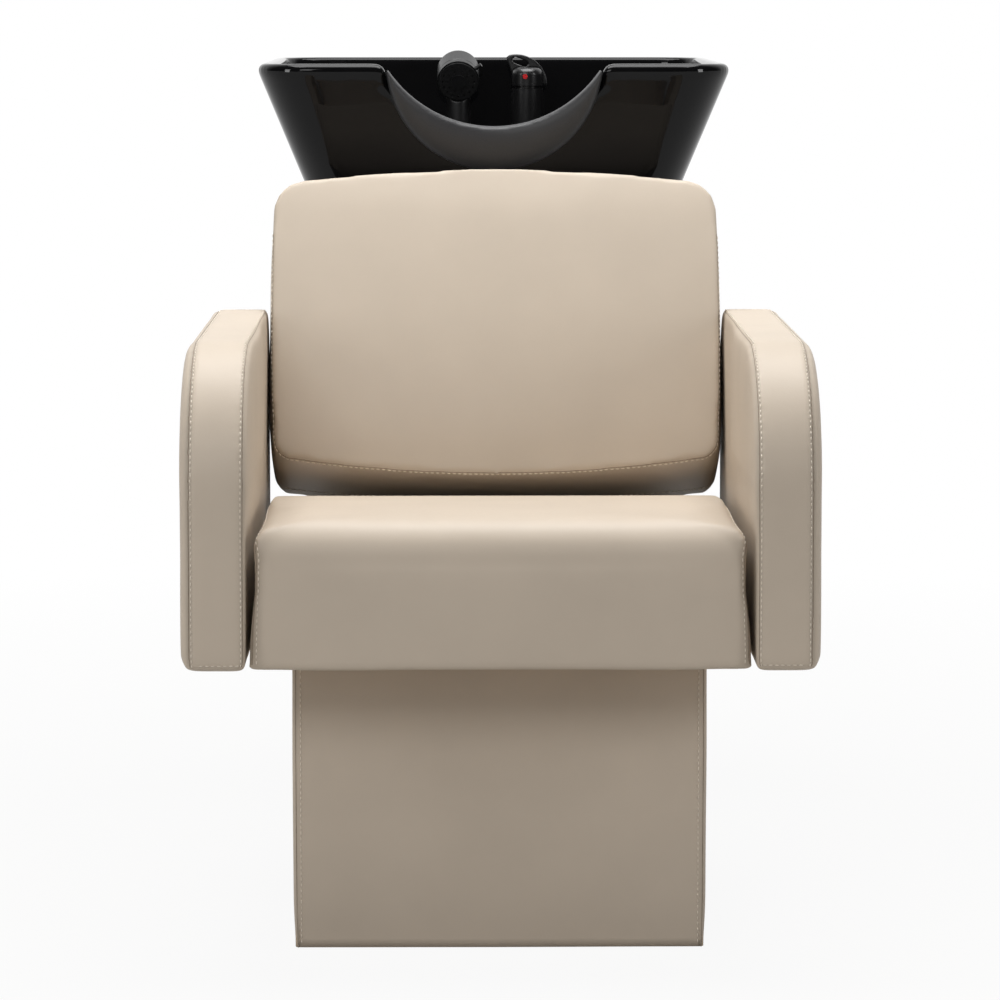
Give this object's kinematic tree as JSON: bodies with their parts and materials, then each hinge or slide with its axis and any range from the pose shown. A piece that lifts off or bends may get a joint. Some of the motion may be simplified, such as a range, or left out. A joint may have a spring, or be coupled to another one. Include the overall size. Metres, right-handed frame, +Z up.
{
  "type": "shampoo chair",
  "caption": "Upholstered salon shampoo chair on a box pedestal, with a tilting glazed bowl behind the backrest, neck rest, mixer tap and hand shower.",
  "frame": {"origin": "on the floor, under the middle of the whole unit's bounding box", "axes": "+X to the right of someone who faces the chair, +Y back from the seat to the bowl, +Z up"},
  "size_m": [0.66, 1.195, 0.9395],
  "materials": {
    "plywood": "bare",
    "column_laminate": "matte laminate",
    "taupe_vinyl": "smooth leatherette",
    "black_coated_steel": "powder coated",
    "zinc_steel": "zinc plated",
    "black_glazed_ceramic": "gloss",
    "dark_rubber": "matte",
    "satin_black_plastic": "satin",
    "spray_rubber": "matte",
    "satin_black_metal": "satin",
    "brass": "turned",
    "stainless_steel": "polished",
    "red_mark": "gloss"
  },
  "bodies": {
    "chair_frame": {"pedestal_cover": "taupe_vinyl", "pedestal_front_board": "plywood", "pedestal_left_board": "column_laminate", "pedestal_right_board": "column_laminate", "pedestal_rear_panel": "column_laminate", "pedestal_top_board": "column_laminate", "floor_brackets": "zinc_steel", "glides": "satin_black_plastic", "seat_rails": "black_coated_steel", "arm_crossbars": "black_coated_steel", "seat_board": "plywood", "seat_cushion": "taupe_vinyl", "seat_bolts": "zinc_steel", "arm_left_board": "plywood", "arm_left_cushion": "taupe_vinyl", "arm_right_board": "plywood", "arm_right_cushion": "taupe_vinyl", "arm_bolts": "zinc_steel", "backrest_board": "taupe_vinyl", "backrest_cushion": "taupe_vinyl", "backrest_left_bracket": "black_coated_steel", "backrest_right_bracket": "black_coated_steel", "backrest_bolts": "zinc_steel", "column_front_panel": "column_laminate", "column_left_panel": "column_laminate", "column_right_panel": "column_laminate", "column_rear_cover": "column_laminate", "column_cover_screws": "zinc_steel", "column_top_board": "column_laminate", "tilt_base": "black_coated_steel", "tilt_left_pin": "zinc_steel", "tilt_right_pin": "zinc_steel", "tilt_washers": "zinc_steel"},
    "bowl_unit": {"tilt_cradle": "black_coated_steel", "cradle_pads": "dark_rubber", "basin": "black_glazed_ceramic", "neck_rest": "dark_rubber", "drain_flange": "stainless_steel", "drain_gasket": "dark_rubber", "drain_nut": "satin_black_plastic", "trap_body": "satin_black_plastic", "mixer_base_ring": "satin_black_metal", "mixer_body": "satin_black_metal", "mixer_locknut": "brass", "mixer_inlet_tails": "stainless_steel", "shower_holder": "satin_black_plastic", "shower_holder_nut": "satin_black_plastic"},
    "clamp_handle": {"tilt_clamp_lever": "satin_black_plastic"},
    "mixer_swivel": {"mixer_cartridge": "satin_black_metal"},
    "mixer_lift": {"mixer_cap": "satin_black_metal", "mixer_lever": "satin_black_metal", "temperature_mark": "red_mark"},
    "hand_shower": {"shower_handle": "satin_black_plastic", "shower_head": "satin_black_plastic", "spray_plate": "spray_rubber", "spray_centre_cap": "satin_black_plastic"},
    "spray_ring": {"spray_selector_ring": "satin_black_plastic"},
    "strainer": {"hair_strainer": "stainless_steel"}
  },
  "joints": [
    {"name": "bowl_tilt", "type": "hinge", "parent": "chair_frame", "child": "bowl_unit", "pos_m": [0, 0.3115, 0.67], "axis": [1, 0, 0], "range_deg": [-10, 6]},
    {"name": "clamp_turn", "type": "hinge", "parent": "chair_frame", "child": "clamp_handle", "pos_m": [0.1293, 0.3115, 0.67], "axis": [1, 0, 0], "range_deg": [-18, 10]},
    {"name": "mixer_temperature", "type": "hinge", "parent": "bowl_unit", "child": "mixer_swivel", "pos_m": [0.047, 0.5255, 0.8925], "axis": [0, 0, 1], "range_deg": [-45, 45]},
    {"name": "mixer_flow", "type": "hinge", "parent": "mixer_swivel", "child": "mixer_lift", "pos_m": [0.047, 0.5455, 0.8944], "axis": [-1, 0, 0], "range_deg": [0, 22]},
    {"name": "shower_lift", "type": "slide", "parent": "bowl_unit", "child": "hand_shower", "axis": [0, 0, 1], "range_m": [0, 0.2]},
    {"name": "spray_select", "type": "hinge", "parent": "hand_shower", "child": "spray_ring", "pos_m": [-0.042, 0.50624, 0.90199], "axis": [0, -0.9397, -0.342], "range_deg": [0, 40]},
    {"name": "strainer_lift", "type": "slide", "parent": "bowl_unit", "child": "strainer", "axis": [0, 0, 1], "range_m": [0, 0.1]}
  ]
}
